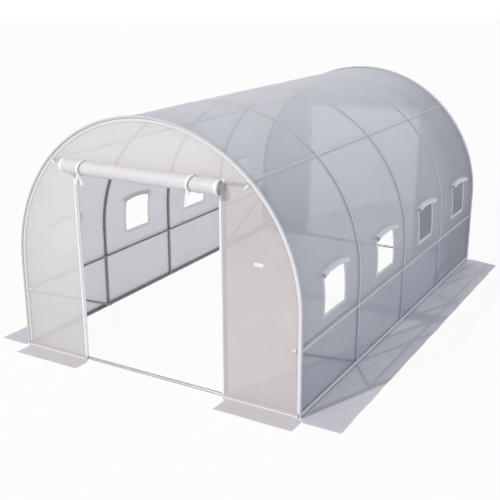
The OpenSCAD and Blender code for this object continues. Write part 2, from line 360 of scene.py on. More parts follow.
def film_finish(name, shade, passes, clear, lets_through, creases=0.35, lines=None, backing_and_highlight_colour=white):
    """Milky film: part of the light goes straight through it, part is spread to the far side, part is sent
    back. The threads in it run both ways along the sheet's own map, and it is less clear at a flat angle.
    lines gives three things for a point. The first is how far a tube or a tape backs the film, so that it
    shows in the colour given for that: a painted highlight where a tube backs it, and the tape's own white
    where a tape does. The second is how far it lies in the painted shade beside that. The third is a level for
    its colours, which paints light and shade on the cover and the end walls."""
    finish, tree = new_finish(name)
    place = add(tree, "TexCoord")
    backing_and_highlight, beside, level = lines(tree, place) if lines else (0.0, 0.0, white[:3])
    threads = [sums(tree, "POWER", wave, 5.0) for wave in weave(tree, place["UV"], thread_scale, "X", "Y")]
    thread = sums(tree, "MAXIMUM", *threads)
    cloud = clouds(tree, place["Object"], cloud_scale, 4.0)
    speckle = clouds(tree, place["Object"], speckle_scale, 5.0)
    tone = sums(tree, "MULTIPLY_ADD", cloud, cloud_tone, darkest_tone)
    tone = sums(tree, "MULTIPLY_ADD", speckle, speckle_tone, tone)
    tone = sums(tree, "MULTIPLY_ADD", thread, thread_tone, tone)
    # Painted shade: the colours are darker in the strips beside the tubes, over the foot and in the last bay.
    tone = sums(tree, "MULTIPLY_ADD", beside, painted_shade_tone, tone)
    outer, through = (vectors(tree, "MULTIPLY", vectors(tree, "MULTIPLY", colour[:3], level), tone)
                      for colour in (shade, passes))
    wrinkle = clouds(tree, place["Object"], wrinkle_scale, 6.0, wrinkle_twist)
    wrinkle = sums(tree, "MULTIPLY_ADD", thread, thread_height, wrinkle)
    bump = relief(tree, wrinkle, creases, wrinkle_depth)
    # Painted highlight: where a tube backs the film it takes a lighter colour; on the door roll this is the
    # hems' own white.
    outer = mixed(tree, backing_and_highlight, outer, backing_and_highlight_colour)
    sent_back = add(tree, "BsdfPrincipled",
                    {"Base Color": outer, "Roughness": film_rough, "Normal": bump})[0]
    spread = add(tree, "BsdfTranslucent", {"Color": through, "Normal": bump})[0]
    free = sums(tree, "SUBTRACT", 1.0, backing_and_highlight)
    body_share = sums(tree, "MULTIPLY", free, lets_through)
    body = add(tree, "MixShader", {0: body_share, 1: sent_back, 2: spread})[0]
    flatness = add(tree, "LayerWeight", {"Blend": 0.5})["Facing"]
    steep = sums(tree, "SUBTRACT", 1.0, sums(tree, "POWER", flatness, 2.5))
    gaps = sums(tree, "MULTIPLY_ADD", thread, -thread_cover * clear, clear)
    gaps = sums(tree, "MULTIPLY", sums(tree, "MULTIPLY", gaps, steep), free)
    gaps = sums(tree, "MAXIMUM", gaps, add(tree, "NewGeometry")["Backfacing"])
    hole = add(tree, "BsdfTransparent")[0]
    skin = add(tree, "MixShader", {0: gaps, 1: body, 2: hole})[0]
    lit = add(tree, "BsdfTransparent", {"Color": sunlight_pass})[0]
    shadow = add(tree, "LightPath")["Is Shadow Ray"]
    surface = add(tree, "MixShader", {0: shadow, 1: skin, 2: lit})[0]
    add(tree, "OutputMaterial", {"Surface": surface})
    return finish


def lay_map(shape, along):
    """Gives a sheet its own map in metres, from a function of a point."""
    layer = shape.loops.layers.uv.new("Film")
    for face in shape.faces:
        for loop in face.loops:
            loop[layer].uv = along(loop.vert.co)


def thicken(shape, outside, thickness=film_t):
    """Turns a sheet's faces to the side that outside gives for a point, then thickens it the other way."""
    face_out(shape)
    facing = sum(f.normal.dot(Vector(outside(f.calc_center_median()))) * f.calc_area() for f in shape.faces)
    if facing < 0:
        bmesh.ops.reverse_faces(shape, faces=shape.faces)
    bmesh.ops.solidify(shape, geom=shape.faces[:], thickness=thickness)


def draw_out(shape, row, steps):
    """Draws a row of edges out into new faces, step by step, and gives the last row."""
    for step in steps:
        drawn = bmesh.ops.extrude_edge_only(shape, edges=row)["geom"]
        bmesh.ops.translate(shape, vec=step, verts=[g for g in drawn if isinstance(g, bmesh.types.BMVert)])
        row = [g for g in drawn if isinstance(g, bmesh.types.BMEdge)]
    return row


def around_section(co):
    """The distance round the tunnel's section from the ridge to a point, to the right positive."""
    if co.z >= wall_h:
        return film_r * math.atan2(co.x, co.z - wall_h)
    return math.copysign(film_r * math.pi / 2 + wall_h - co.z, co.x)


def outwards(co):
    """The direction square to the cover at a point."""
    if co.z > wall_h:
        return Vector((co.x, 0, co.z - wall_h)).normalized()
    return Vector((math.copysign(1, co.x), 0, 0))


def uneven(*place):
    """A value between -1 and 1 that drifts softly from place to place."""
    return noise.noise(Vector(place))


def wall_x(z):
    """How far the full cover stands from the tunnel's middle at a height."""
    return math.sqrt(film_r**2 - max(z - wall_h, 0.0) ** 2)


def window_head(dy):
    """The height of a window's arched upper edge, at a distance from its middle."""
    rise, half = window_top_z - window_side_z, window_w / 2
    radius = (half**2 + rise**2) / (2 * rise)
    return window_top_z - radius + math.sqrt(radius**2 - dy**2)


window_ys = {side: [sum(corner.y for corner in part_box(f"{name}_window_{k}")) / 2
                    for k in range(1, len(arches))] for name, side in sides}
head_a = math.asin((window_side_z - wall_h) / film_r)
head_row_a = math.radians(3.5)

# The rows of the cover lie closer together at the foot, at the windows' edges and beside the arches.
foot_rows = (0.035, 0.10, 0.20, 0.30, 0.40, 0.50, 0.57, window_z, 0.68, wall_h)
bay_rows = (0.012, 0.030, 0.065, 0.12, 0.19, 0.26, 0.33, 0.36, 0.40, 0.44, 0.48, 0.52, 0.56, 0.60, 0.64, 0.67,
            0.70, 0.74, 0.81, 0.88, 0.935, 0.970, 0.988, bay_l)
cover = bmesh.new()
foot = cover.verts.new((film_r, -film_edge_y, foot_z))
for z in foot_rows:
    step = bmesh.ops.extrude_vert_indiv(cover, verts=[foot])["verts"][0]
    step.co.z = z
    foot = step
for sweep, steps in ((head_a, 3), (head_row_a, 1), (math.pi / 2 - head_a - head_row_a, 26)):
    bent = bmesh.ops.spin(cover, geom=[foot], cent=(0, 0, wall_h), axis=(0, 1, 0), angle=-sweep, steps=steps)
    foot = next(g for g in bent["geom_last"] if isinstance(g, bmesh.types.BMVert))
rows = [0.0, film_edge_y - end_arch_y]
rows += [y0 + dy + film_edge_y for y0 in arch_ys[:-1] for dy in bay_rows] + [2 * film_edge_y]
draw_out(cover, cover.edges[:], [(0, b - a, 0) for a, b in zip(rows, rows[1:])])
bmesh.ops.mirror(cover, geom=cover.verts[:] + cover.edges[:] + cover.faces[:], axis="X", merge_dist=0.0002)
lay_map(cover, lambda co: (around_section(co), co.y))


def from_window(co):
    """The distance along the tunnel from a point to the middle of the nearest window on its side."""
    return min(abs(co.y - y) for y in window_ys[-1 if co.x < 0 else 1])


for v in cover.verts:
    if abs(v.co.z - window_side_z) < 0.003 and from_window(v.co) < window_w / 2 - 0.002:
        v.co.z = window_head(from_window(v.co))
        v.co.x = math.copysign(wall_x(v.co.z), v.co.x)


def in_window(co):
    """Whether a point of the cover lies in a window's opening."""
    dy = from_window(co)
    return abs(co.x) > 1.0 and dy < window_w / 2 and window_z < co.z < window_head(dy) - 0.002


holes = [f for f in cover.faces if in_window(f.calc_center_median())]
bmesh.ops.delete(cover, geom=holes, context="FACES")


def sink(co):
    """How far the cover lies inside its full radius at a point: none on an arch, most between two."""
    if abs(co.y) >= end_arch_y:
        return 0.0
    along = ((co.y + end_arch_y) / bay_l) % 1.0
    span = 4 * along * (1 - along)
    high = min(max(co.z / wall_h, 0.0), 1.0)
    depth = roof_sink if co.z > wall_h else wall_sink + (roof_sink - wall_sink) * high
    pull = uneven(around_section(co) * 1.7, co.y * 2.6, 3.0) * hand_pull
    return span * (depth * math.sin(math.pi / 2 * min(co.z / 0.2, 1.0)) + pull)


for v in cover.verts:
    v.co -= outwards(v.co) * sink(v.co)

film_shade = (0.56, 0.57, 0.61, 1.0)
film_pass = (0.76, 0.77, 0.81, 1.0)
# Painted light and shade on the cover: a lighter colour where tubes back it, and levels that make the roof
# lit, the walls shaded and the inside lit.
film_painted_highlight = (0.90, 0.92, 0.97, 1.0)
roof_painted_light = (1.33, 1.31, 1.29, 1.0)
wall_painted_shade = (0.67, 0.72, 0.79, 1.0)
inner_painted_light = (1.47, 1.41, 1.34, 1.0)
shoulder_at = film_r * math.atan2(shoulder_place.x, shoulder_place.z)
side_at = film_r * math.pi / 2 + wall_h - purlin_z
arch_highlight_band = (0.0, 0.008, 0.003)
arch_painted_shade = (-0.016, 0.005, 0.003)
foot_painted_shade = (0.044, 0.009, 0.004)
purlin_highlight_band = (0.009, 0.004)
purlins_painted_highlight = ((shoulder_at, 0.45), (side_at, 0.75))
last_bay_painted_shade = 0.9


def outer_side(tree, place, axes, middle):
    """1 on the side of a sheet that faces away from the tunnel's middle, otherwise 0."""
    away = vectors(tree, "MULTIPLY", vectors(tree, "SUBTRACT", place["Object"], middle), axes)
    facing = add(tree, "NewGeometry")["True Normal"]
    return sums(tree, "GREATER_THAN", vectors(tree, "DOT_PRODUCT", away, facing), 0.0)


def cover_lines(tree, place):
    """Where the arches and purlins back the cover, which is painted lighter there as a painted highlight. The
    painted shade in front of each arch, over the foot and on the walls of the last bay. Its level, which is
    painted light and shade, going from pale on the roof to dark on the walls and palest inside."""
    at = split(tree, place["UV"])
    bay = sums(tree, "FRACT", sums(tree, "MULTIPLY_ADD", at["Y"], 1 / bay_l, end_arch_y / bay_l + 0.5))
    from_arch = sums(tree, "MULTIPLY_ADD", bay, bay_l, -bay_l / 2)
    backing_and_highlight = soft_band(tree, from_arch, *arch_highlight_band)
    from_ridge = sums(tree, "ABSOLUTE", at["X"])
    for purlin, strength in purlins_painted_highlight:
        band = soft_band(tree, from_ridge, purlin, *purlin_highlight_band)
        backing_and_highlight = sums(tree, "MAXIMUM", backing_and_highlight, sums(tree, "MULTIPLY", band, strength))
    down = ramp(tree, from_ridge, 0.75 * film_r, 1.85 * film_r)
    outer = outer_side(tree, place, (1, 0, 1), (0, 0, wall_h))
    # Painted light and shade: the roof is lit, the walls are shaded and bluish, and the inner side is lit.
    level = mixed(tree, outer, inner_painted_light, mixed(tree, down, roof_painted_light, wall_painted_shade))
    beside = soft_band(tree, from_arch, *arch_painted_shade)
    from_foot = sums(tree, "SUBTRACT", film_r * math.pi / 2 + wall_h, from_ridge)
    over_foot = soft_band(tree, from_foot, *foot_painted_shade)
    # Painted shade on the walls of the last bay, towards the rear.
    last_bay = ramp(tree, at["Y"], end_arch_y - 1.1 * bay_l, end_arch_y - 0.5 * bay_l, kind="SMOOTHSTEP")
    low = ramp(tree, from_ridge, 0.35 * film_r, 0.65 * film_r)
    rear_painted_shade = sums(tree, "MULTIPLY", sums(tree, "MULTIPLY", last_bay, low),
               sums(tree, "MULTIPLY", outer, last_bay_painted_shade))
    return backing_and_highlight, sums(tree, "MAXIMUM", sums(tree, "MAXIMUM", beside, over_foot), rear_painted_shade), level


thicken(cover, outwards)
cover_finish = film_finish("Cover film", film_shade, film_pass, clear=0.38, lets_through=0.36,
                           lines=cover_lines, backing_and_highlight_colour=film_painted_highlight)
cover_piece = make_piece("cover", cover, cover_finish, "film", "left_side_cover", "roof_cover",
                         "right_side_cover")

# End walls: a flat sheet of the same film behind each end arch, with the doorway cut out of it.
# It is stretched between the arch, the door posts and the header, and sewn into the edging all round.
panel_low, panel_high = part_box("front_right_panel")
door_half = panel_low.x
top_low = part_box("front_top_panel")[0]
door_top = top_low.z
end_film_y = -top_low.y - 0.0008
hem_out = -top_low.y + 0.0015
hem_w = 0.018
hem_x = {-1: -0.652, 1: 0.635}
hem_lean = {-1: -0.014, 1: -0.009}
hem_overlap = 0.003
header_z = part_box("front_header")[1].z - tube_r
end_film_r = panel_high.x - 0.0005
end_foot = 0.030
columns_beside, columns_over, rows_below, rows_above = 12, 16, 24, 5
end_shade = (0.89, 0.850, 0.835, 1.0)
end_pass = (0.93, 0.90, 0.90, 1.0)
# Painted light and shade on the end walls: a lighter colour along the arch, a darker level for the lower right
# and a dark level for the inner side.
end_painted_highlight = (0.88, 0.86, 0.86, 1.0)
end_low_painted_shade = (0.90, 0.85, 0.84, 1.0)
end_inner_painted_shade = (0.25, 0.28, 0.33, 1.0)
end_arch_highlight_band = (0.0, 0.009, 0.004)
end_arch_painted_shade = (-0.015, 0.004, 0.003)
end_arch_painted_shade_share = 0.4


def hem_at(side, z):
    """The middle of a doorway's hem at a height: the hems lean a little, as the film is pulled by hand."""
    return hem_x[side] + hem_lean[side] * z / door_top


def turn_to(shape, end):
    """Turns a shape that is built for the front end round to the end that is named."""
    if end == "rear":
        bmesh.ops.rotate(shape, matrix=Matrix.Rotation(math.pi, 3, "Z"), verts=shape.verts)


def ripple(x, z):
    """How far the end wall stands in or out at a point, with none of it along tubes."""
    r = math.hypot(x, max(z - wall_h, 0.0))
    rim = min((end_film_r - 0.03 - r) / 0.25, 1.0)
    post = min(abs(abs(x) - door_half) / 0.15, 1.0)
    foot = min((z - end_foot) / 0.15, 1.0)
    calm = max(min(rim, foot), 0.0) * post
    return calm * (uneven(x * 2.4, z * 2.1, 7.0) * 0.004 + uneven(x * 6.0, z * 5.0, 1.0) * 0.0012)


def end_wall(end):
    """One end wall: a grid that is bent to the round outline, with the doorway's squares taken out."""
    shape = bmesh.new()
    across, up = 2 * columns_beside + columns_over, rows_below + rows_above
    bmesh.ops.create_grid(shape, x_segments=across, y_segments=up, size=0.5)
    turn_out = math.acos(door_half / end_film_r)
    door_side_top = wall_h + math.sqrt(end_film_r**2 - door_half**2)
    open_squares = []
    for f in shape.faces:
        c = f.calc_center_median()
        column, row = (c.x + 0.5) * across, (c.y + 0.5) * up
        if columns_beside < column < across - columns_beside and row < rows_below:
            open_squares.append(f)
    over = columns_over / 2
    for v in shape.verts:
        column, row = round((v.co.x + 0.5) * across) - across / 2, round((v.co.y + 0.5) * up)
        beside = max(abs(column) - over, 0) / columns_beside
        x = door_half * column / over
        if beside:
            x = math.copysign(end_film_r * math.cos(turn_out * (1 - beside)), column)
        top = wall_h + math.sqrt(max(end_film_r**2 - x**2, 0.0))
        middle = door_top
        if beside:
            middle = end_foot + (door_top - end_foot) * (top - end_foot) / (door_side_top - end_foot)
        edge_share = 1 - beside
        if row <= rows_below:
            z = end_foot + (middle - end_foot) * row / rows_below
        else:
            z = middle + (top - middle) * (row - rows_below) / rows_above
            edge_share *= 1 - (row - rows_below) / rows_above
        side = 1 if column > 0 else -1
        edge = abs(hem_at(side, min(z, door_top))) - hem_w / 2 + hem_overlap
        x += side * (edge - door_half) * edge_share * min(abs(column) / over, 1.0)
        v.co = (x, -end_film_y + ripple(x, z), z)
    bmesh.ops.delete(shape, geom=open_squares, context="FACES")
    lay_map(shape, lambda co: (co.x, co.z))
    thicken(shape, lambda co: (0, -1, 0))
    turn_to(shape, end)
    return shape


def end_lines(tree, place):
    """Where the end arch lies against the end wall, which is painted lighter there as a painted highlight. The
    painted shade inside it. The wall's level: painted light that rises with its height, painted shade at the
    bottom right, and dark painted shade on the inner side."""
    at = split(tree, place["UV"])
    high = sums(tree, "MAXIMUM", sums(tree, "SUBTRACT", at["Y"], wall_h))
    square = sums(tree, "MULTIPLY_ADD", at["X"], at["X"], sums(tree, "MULTIPLY", high, high))
    from_arch = sums(tree, "SUBTRACT", sums(tree, "SQRT", square), arch_r)
    outer = outer_side(tree, place, (0, 1, 0), (0, 0, 0))
    # Painted light and shade: lighter towards the top, darker at the bottom right and dark on the inner side.
    rise = ramp(tree, at["Y"], 0.3, 1.8, 0.98, 1.12)
    painted_shade_share = sums(tree, "MULTIPLY", ramp(tree, at["Y"], 1.45, 1.85, 1.0, 0.0), ramp(tree, at["X"], 0.1, 0.75))
    level = add(tree, "CombineXYZ", {0: rise, 1: rise, 2: rise})[0]
    level = mixed(tree, outer, end_inner_painted_shade, mixed(tree, painted_shade_share, level, end_low_painted_shade))
    backing_and_highlight, beside = (soft_band(tree, from_arch, *band) for band in (end_arch_highlight_band, end_arch_painted_shade))
    return backing_and_highlight, sums(tree, "MULTIPLY", beside, end_arch_painted_shade_share), level


end_finish = film_finish("End wall film", end_shade, end_pass, clear=0.22, lets_through=0.36, creases=0.25,
                         lines=end_lines, backing_and_highlight_colour=end_painted_highlight)
for end in ends:
    make_piece(f"{end}_end_wall", end_wall(end), end_finish, "film",
                                 f"{end}_left_panel", f"{end}_right_panel", f"{end}_top_panel")

# Doorway hems: the film is folded twice round a strip of white coated tape and stitched down.
# They run up both sides of each doorway, from the fold at the foot to the header.
hem_foot, hem_top = 0.018, door_top + 0.004
hem_depth = hem_out - end_film_y + 0.0022
trim_shade = (0.97, 0.97, 0.97, 1.0)


def trim_finish(name, shade, stitch_pitch=0.006, painted_outer_shade=None):
    """White coated fabric: opaque, with a fine close weave and soft creases. The outer colour given is painted
    shade on the tunnel's right side, where the fabric turns away from the tunnel's middle and from the sun."""
    finish, tree = new_finish(name)
    place = add(tree, "TexCoord")["Object"]
    cloth = sums(tree, "MULTIPLY", *weave(tree, place, 2 * math.pi / 20 / stitch_pitch * 3, "X", "Z"))
    cloud = clouds(tree, place, 14.0, 5.0)
    base = shade[:3]
    # Painted shade: on the tunnel's right side, the fabric that turns outwards takes a darker colour.
    if painted_outer_shade:
        away = vectors(tree, "SUBTRACT", place, (0, 0, wall_h))
        away = vectors(tree, "NORMALIZE", vectors(tree, "MULTIPLY", away, (1, 0, 0.6)))
        facing = add(tree, "NewGeometry")["Normal"]
        turned = ramp(tree, vectors(tree, "DOT_PRODUCT", away, facing), 0.1, 0.65, kind="SMOOTHSTEP")
        across = split(tree, place)
        right = sums(tree, "MULTIPLY", across["X"], sums(tree, "SIGN", across["Y"]))
        right = ramp(tree, right, 0.0, -0.6)
        base = mixed(tree, sums(tree, "MULTIPLY", turned, right), shade, painted_outer_shade)
    colour = vectors(tree, "MULTIPLY", base, sums(tree, "MULTIPLY_ADD", cloud, 0.10, 0.945))
    bump = relief(tree, sums(tree, "MULTIPLY_ADD", cloth, 0.15, cloud), 0.25, 0.0015)
    skin = add(tree, "BsdfPrincipled",
               {"Base Color": colour, "Roughness": 0.55, "Normal": bump})[0]
    add(tree, "OutputMaterial", {"Surface": skin})
    return finish


def upright(shape):
    """The edges of a shape that run up and down."""
    return [e for e in shape.edges if abs(e.verts[0].co.z - e.verts[1].co.z) > 1e-6]


def hem(end, side):
    """One hem: a long flat fold with rounded edges, a little uneven along its height."""
    shape = bmesh.new()
    bmesh.ops.create_cube(shape, size=1.0)
    bmesh.ops.scale(shape, vec=(hem_w, hem_depth, hem_top - hem_foot), verts=shape.verts)
    bmesh.ops.bevel(shape, geom=upright(shape), offset=hem_depth * 0.42, offset_type="OFFSET", segments=3,
                    profile=0.5, affect="EDGES", material=-1)
    bmesh.ops.subdivide_edges(shape, edges=upright(shape), cuts=30, use_grid_fill=True)
    for v in shape.verts:
        v.co.z += (hem_foot + hem_top) / 2
        v.co.x += hem_at(side, v.co.z) + uneven(side, 3.0, v.co.z * 5.0) * 0.0015
        v.co.y += uneven(side, 8.0, v.co.z * 9.0) * 0.0006 - hem_out + hem_depth / 2
    turn_to(shape, end)
    return shape


trim = trim_finish("White coated trim", trim_shade)
for end in ends:
    for name, side in sides:
        make_piece(f"{end}_{name}_hem", hem(end, side), trim, "trim")

# Edging: a soft round band of white coated fabric, sewn over the corner where cover and end wall meet.
# It follows the end arch from the ground over the ridge, and puckers a little along its stitches.
corner_x = cover_high.z - wall_h + 0.0003
corner_y = -top_low.y + 0.0003
edging_r = 0.0105
edging_out = 0.0035
edging_foot = 0.004
edging_leg_rows = 24
edging_shade = (0.70, 0.695, 0.705, 1.0)
# Painted shade for the outer side of the edging on the tunnel's right.
edging_painted_outer_shade = (0.52, 0.54, 0.60, 1.0)


def edging(end):
    """One band: the section is turned round the roof's axis, and its ends drawn down to the ground."""
    shape = bmesh.new()
    tip = shape.verts.new((corner_x, -corner_y + edging_r, wall_h))
    swing = bmesh.ops.spin(shape, geom=[tip], cent=(corner_x, -corner_y, wall_h), axis=(0, 0, 1),
                           angle=-1.5 * math.pi, steps=15)
    last = next(g for g in swing["geom_last"] if isinstance(g, bmesh.types.BMVert))
    corner = shape.verts.new((corner_x, -corner_y, wall_h))
    shape.edges.new((last, corner))
    shape.edges.new((corner, tip))
    section = shape.edges[:]
    bent = bmesh.ops.spin(shape, geom=section, cent=(0, 0, wall_h), axis=(0, 1, 0), angle=-math.pi, steps=110)
    far = [g for g in bent["geom_last"] if isinstance(g, bmesh.types.BMEdge)]
    for row in (section, far):
        row = draw_out(shape, row, [(0, 0, (edging_foot - wall_h) / edging_leg_rows)] * edging_leg_rows)
        bmesh.ops.holes_fill(shape, edges=row)
    for v in shape.verts:
        middle = outwards(v.co) * corner_x
        middle.z = middle.z + wall_h if v.co.z > wall_h else v.co.z
        middle.y = -corner_y
        along = around_section(v.co)
        pucker = uneven(along * 14.0, 0, 2.0) * 0.05 + uneven(along * 3.0, 5.0, 0) * 0.05
        v.co = middle + (v.co - middle) * (0.97 + pucker) + outwards(middle) * edging_out
    face_out(shape)
    turn_to(shape, end)
    return shape


edging_finish = trim_finish("White edging", edging_shade, painted_outer_shade=edging_painted_outer_shade)
bands = [make_piece(f"{end}_edging", edging(end), edging_finish, "trim", "edging") for end in ends]

# Ground flaps: the film runs over a fold at the foot of each wall and out over the ground.
# Earth or stones are laid on them to hold the tunnel down, so they lie flat with a few soft waves.
fold_top = 0.036
fold_out = 0.010
rest_z = 0.0016
fold_side = purlin_high.y
fold_end = panel_high.x - 0.006
flap_pass = (0.76, 0.75, 0.78, 1.0)
# The side flaps are paler and bluer than the end flaps: painted sky light for the shade of the tunnel that
# they lie in.
side_flap_colour_and_painted_sky = (0.85, 0.83, 0.88, 1.0)
# Painted highlight colour where the ground tube backs the fold.
side_flap_painted_highlight = (0.84, 0.86, 0.92, 1.0)
end_flap_shade = (0.82, 0.785, 0.81, 1.0)
fold_level = (0.82, 0.80, 0.78, 1.0)
fold_highlight_and_shade_bands = ((0.021, 0.0085, 0.002), (0.034, 0.0035, 0.0015), (0.0085, 0.0035, 0.0015))
fold_middle_z = 0.0125


def flap_profile(reach):
    """The flap's section from the wall outwards: down the wall, round the fold and along the ground."""
    points = [(0.0, fold_top), (0.0002, 0.031), (0.0030, 0.028)]
    for k in range(1, 8):
        a = math.radians(100 - 195 * k / 7)
        points.append((fold_out * (0.35 + 0.65 * math.cos(a)), 0.0165 + 0.0105 * math.sin(a)))
    points.append((fold_out * 0.5 + 0.012, rest_z + 0.0012))
    flat = points[-1][0] + 0.006
    steps = 9
    points += [(flat + (reach - flat) * k / steps, rest_z) for k in range(steps + 1)]
    return points


def lie(co, share):
    """How far a point of a flap rises off the ground, more so towards the flap's outer edge."""
    if share <= 0.12:
        return 0.0
    lift = (0.5 + 0.5 * uneven(co.x * 3.5, co.y * 3.5, 4.0)) * 0.005
    return (lift + max(uneven(co.x * 9.0, co.y * 9.0, 9.0), 0.0) * 0.0025) * share


def chain(shape, points):
    """A row of edges through a list of points."""
    made = [shape.verts.new(point) for point in points]
    return [shape.edges.new(pair) for pair in zip(made, made[1:])]


def flap(reach, fold_span, flat_span, steps, wall, waves, slant=0.0):
    """A flap along +Y beside a wall at x = wall. Its fold and its flat part each have their own two ends."""
    shape = bmesh.new()
    section = chain(shape, [(wall + out, 0.0, z) for out, z in flap_profile(reach)])
    draw_out(shape, section, [(0, 1 / steps, 0)] * steps)
    for v in shape.verts:
        out = v.co.x - wall
        share = max(out / reach, 0.0)
        spread_out = min(max((out - 0.012) / 0.020, 0.0), 1.0)
        start, stop = (fold + (flat - fold) * spread_out for fold, flat in zip(fold_span, flat_span))
        stop -= slant * share
        v.co.y = start + (stop - start) * v.co.y
        v.co.z += lie(v.co, share)
        if waves:
            sway = (1 - math.cos(2 * math.pi * v.co.y / (bay_l / 2))) / 2
            v.co.x -= 0.004 * sway * share**3
    lay_map(shape, lambda co: (co.x, co.y))
    return shape


def fold_lines(tree, place):
    """The fold at the foot of a side wall: the ground tube lies in it, painted lighter there as a painted
    highlight, with painted shade on either side.
    """
    at = split(tree, place["Object"])
    near = sums(tree, "LESS_THAN", sums(tree, "ABSOLUTE", at["X"]), film_r + 0.020)
    # Painted highlight along the ground tube, and painted shade just above and below it.
    backing_and_highlight, above, below = (soft_band(tree, at["Z"], *band) for band in fold_highlight_and_shade_bands)
    painted_shade_share = sums(tree, "MULTIPLY", sums(tree, "MAXIMUM", above, below), 2.0)
    return sums(tree, "MULTIPLY", backing_and_highlight, near), sums(tree, "MULTIPLY", painted_shade_share, near), white[:3]


def end_fold_lines(tree, place):
    """The upper half of the fold at the foot of an end wall, which is as dark as the wall above it."""
    high = sums(tree, "GREATER_THAN", split(tree, place["Object"])["Z"], fold_middle_z)
    return 0.0, 0.0, mixed(tree, high, white, fold_level)


end_flap_finish = film_finish("End flap film", end_flap_shade, flap_pass, clear=0.03, lets_through=0.22,
                              creases=0.5, lines=end_fold_lines)
side_flap_finish = film_finish("Side flap film", side_flap_colour_and_painted_sky, flap_pass, clear=0.03, lets_through=0.22,
                               creases=0.5, lines=fold_lines, backing_and_highlight_colour=side_flap_painted_highlight)
side_flaps = (("left", -1, 1.555, (-2.040, 2.055), 0.02), ("right", 1, 1.603, (-2.068, 2.055), 0.08))
for name, side, reach, flat_span, slant in side_flaps:
    wall = film_r + 0.0006
    shape = flap(reach - wall, (-fold_side, fold_side), flat_span, 80, wall, True, slant)
    thicken(shape, lambda co: (0.3, 0, 1))
    if side < 0:
        bmesh.ops.scale(shape, vec=(-1, 1, 1), verts=shape.verts)
        bmesh.ops.reverse_faces(shape, faces=shape.faces)
    piece = make_piece(f"{name}_ground_flap", shape, side_flap_finish, "film", f"{name}_skirt")
    length = flat_span[1] - flat_span[0]
end_flaps = (("left", -1, 2.194, (0.619, 1.247)), ("right", 1, -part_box("front_skirts")[0].y, (0.668, 1.300)))
for end in ends:
    for name, side, reach, flat_span in end_flaps:
        wall = end_film_y + 0.0006
        fold_span = (abs(hem_at(side, 0.0)) - hem_w / 2, fold_end)
        shape = flap(reach - wall, fold_span, flat_span, 16, wall, False)
        for v in shape.verts:
            v.co = (side * v.co.y, -v.co.x, v.co.z)
        if side > 0:
            bmesh.ops.reverse_faces(shape, faces=shape.faces)
        thicken(shape, lambda co: (0, -0.3, 1))
        turn_to(shape, end)
        piece = make_piece(f"{end}_{name}_ground_flap", shape, end_flap_finish, "film", f"{end}_skirts")

# Welts: thin white piping is sewn into the fold at the foot of each end panel.
# It runs from the doorway's hem to the edging, and shows as one bright line above the flap.
welt_r = 0.0045
welt_z = 0.0105
welt_y = -end_film_y - fold_out - 0.0015
for end in ends:
    shape = bmesh.new()
    for _, side in sides:
        start, stop = abs(hem_at(side, 0.0)), fold_end
        place = Matrix.Translation((side * (start + stop) / 2, welt_y, welt_z))
        bmesh.ops.create_cone(shape, cap_ends=True, segments=12, radius1=welt_r, radius2=welt_r,
                              depth=stop - start, matrix=place @ Matrix.Rotation(math.pi / 2, 4, "Y"))
    turn_to(shape, end)
    make_piece(f"{end}_welts", shape, trim, "trim")

# Window borders: strips of white coated fabric sewn round each opening, mitred at the corners.
# They follow the wall, so their upper parts lean inwards with the roof.
border_w = 0.028
border_t = 0.0016
border_shade = (0.97, 0.97, 0.98, 1.0)


def on_wall(side, y, z, lift):
    """The place on one side of the tunnel at a height, lifted off the film."""
    place = Vector((side * wall_x(z), y, z))
    return place + outwards(place) * (lift - sink(place))


def border(side, y0):
    """One border: rows of squares round the opening, wrapped on the wall and given their thickness."""
    shape = bmesh.new()
    half = window_w / 2
    columns = [-half - border_w] + [half * (k / 4 - 1) for k in range(9)] + [half + border_w]
    heights = (window_z - border_w, window_z, 0.69, wall_h, 0.79, 0.85, window_side_z,
               window_side_z + border_w)
    foot = chain(shape, [(0, y, heights[0]) for y in columns])
    draw_out(shape, foot, [(0, 0, high - low) for low, high in zip(heights, heights[1:])])
    inside = [f for f in shape.faces if abs(f.calc_center_median().y) < half
              and window_z < f.calc_center_median().z < window_side_z]
    bmesh.ops.delete(shape, geom=inside, context="FACES")
    for v in shape.verts:
        if v.co.z > window_side_z - 0.001:
            v.co.z += window_head(min(abs(v.co.y), half)) - window_side_z
    lay_map(shape, lambda co: (co.y, co.z))
    for v in shape.verts:
        v.co = on_wall(side, y0 + v.co.y, v.co.z, border_t + 0.0004)
    thicken(shape, outwards, border_t)
    return shape


border_finish = film_finish("Window border", border_shade, border_shade, clear=0.02, lets_through=0.42)

# Window flaps: a small sheet of film sewn on above each opening and rolled up by hand.
# Its ends hang down a little past the opening, and it is pinched in where narrow tapes hold it; the tapes are
# not drawn.
flap_low, flap_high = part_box("right_window_1")
roll_half = (flap_high.y - flap_low.y) / 2 - 0.008
window_flap_r = 0.0235
window_flap_pitch = 0.0048
window_flap_turns = 3.4
window_flap_droop = 0.0225
window_flap_slip = 0.018
window_flap_swell, window_flap_nip = 0.07, 0.16
window_flap_t = 0.0008
window_flap_z = window_top_z + 0.026
window_tape_at = 0.11
seam_up = 0.020
window_flap_shade = (0.93, 0.935, 0.98, 1.0)
window_flap_pass = (0.93, 0.95, 1.0, 1.0)


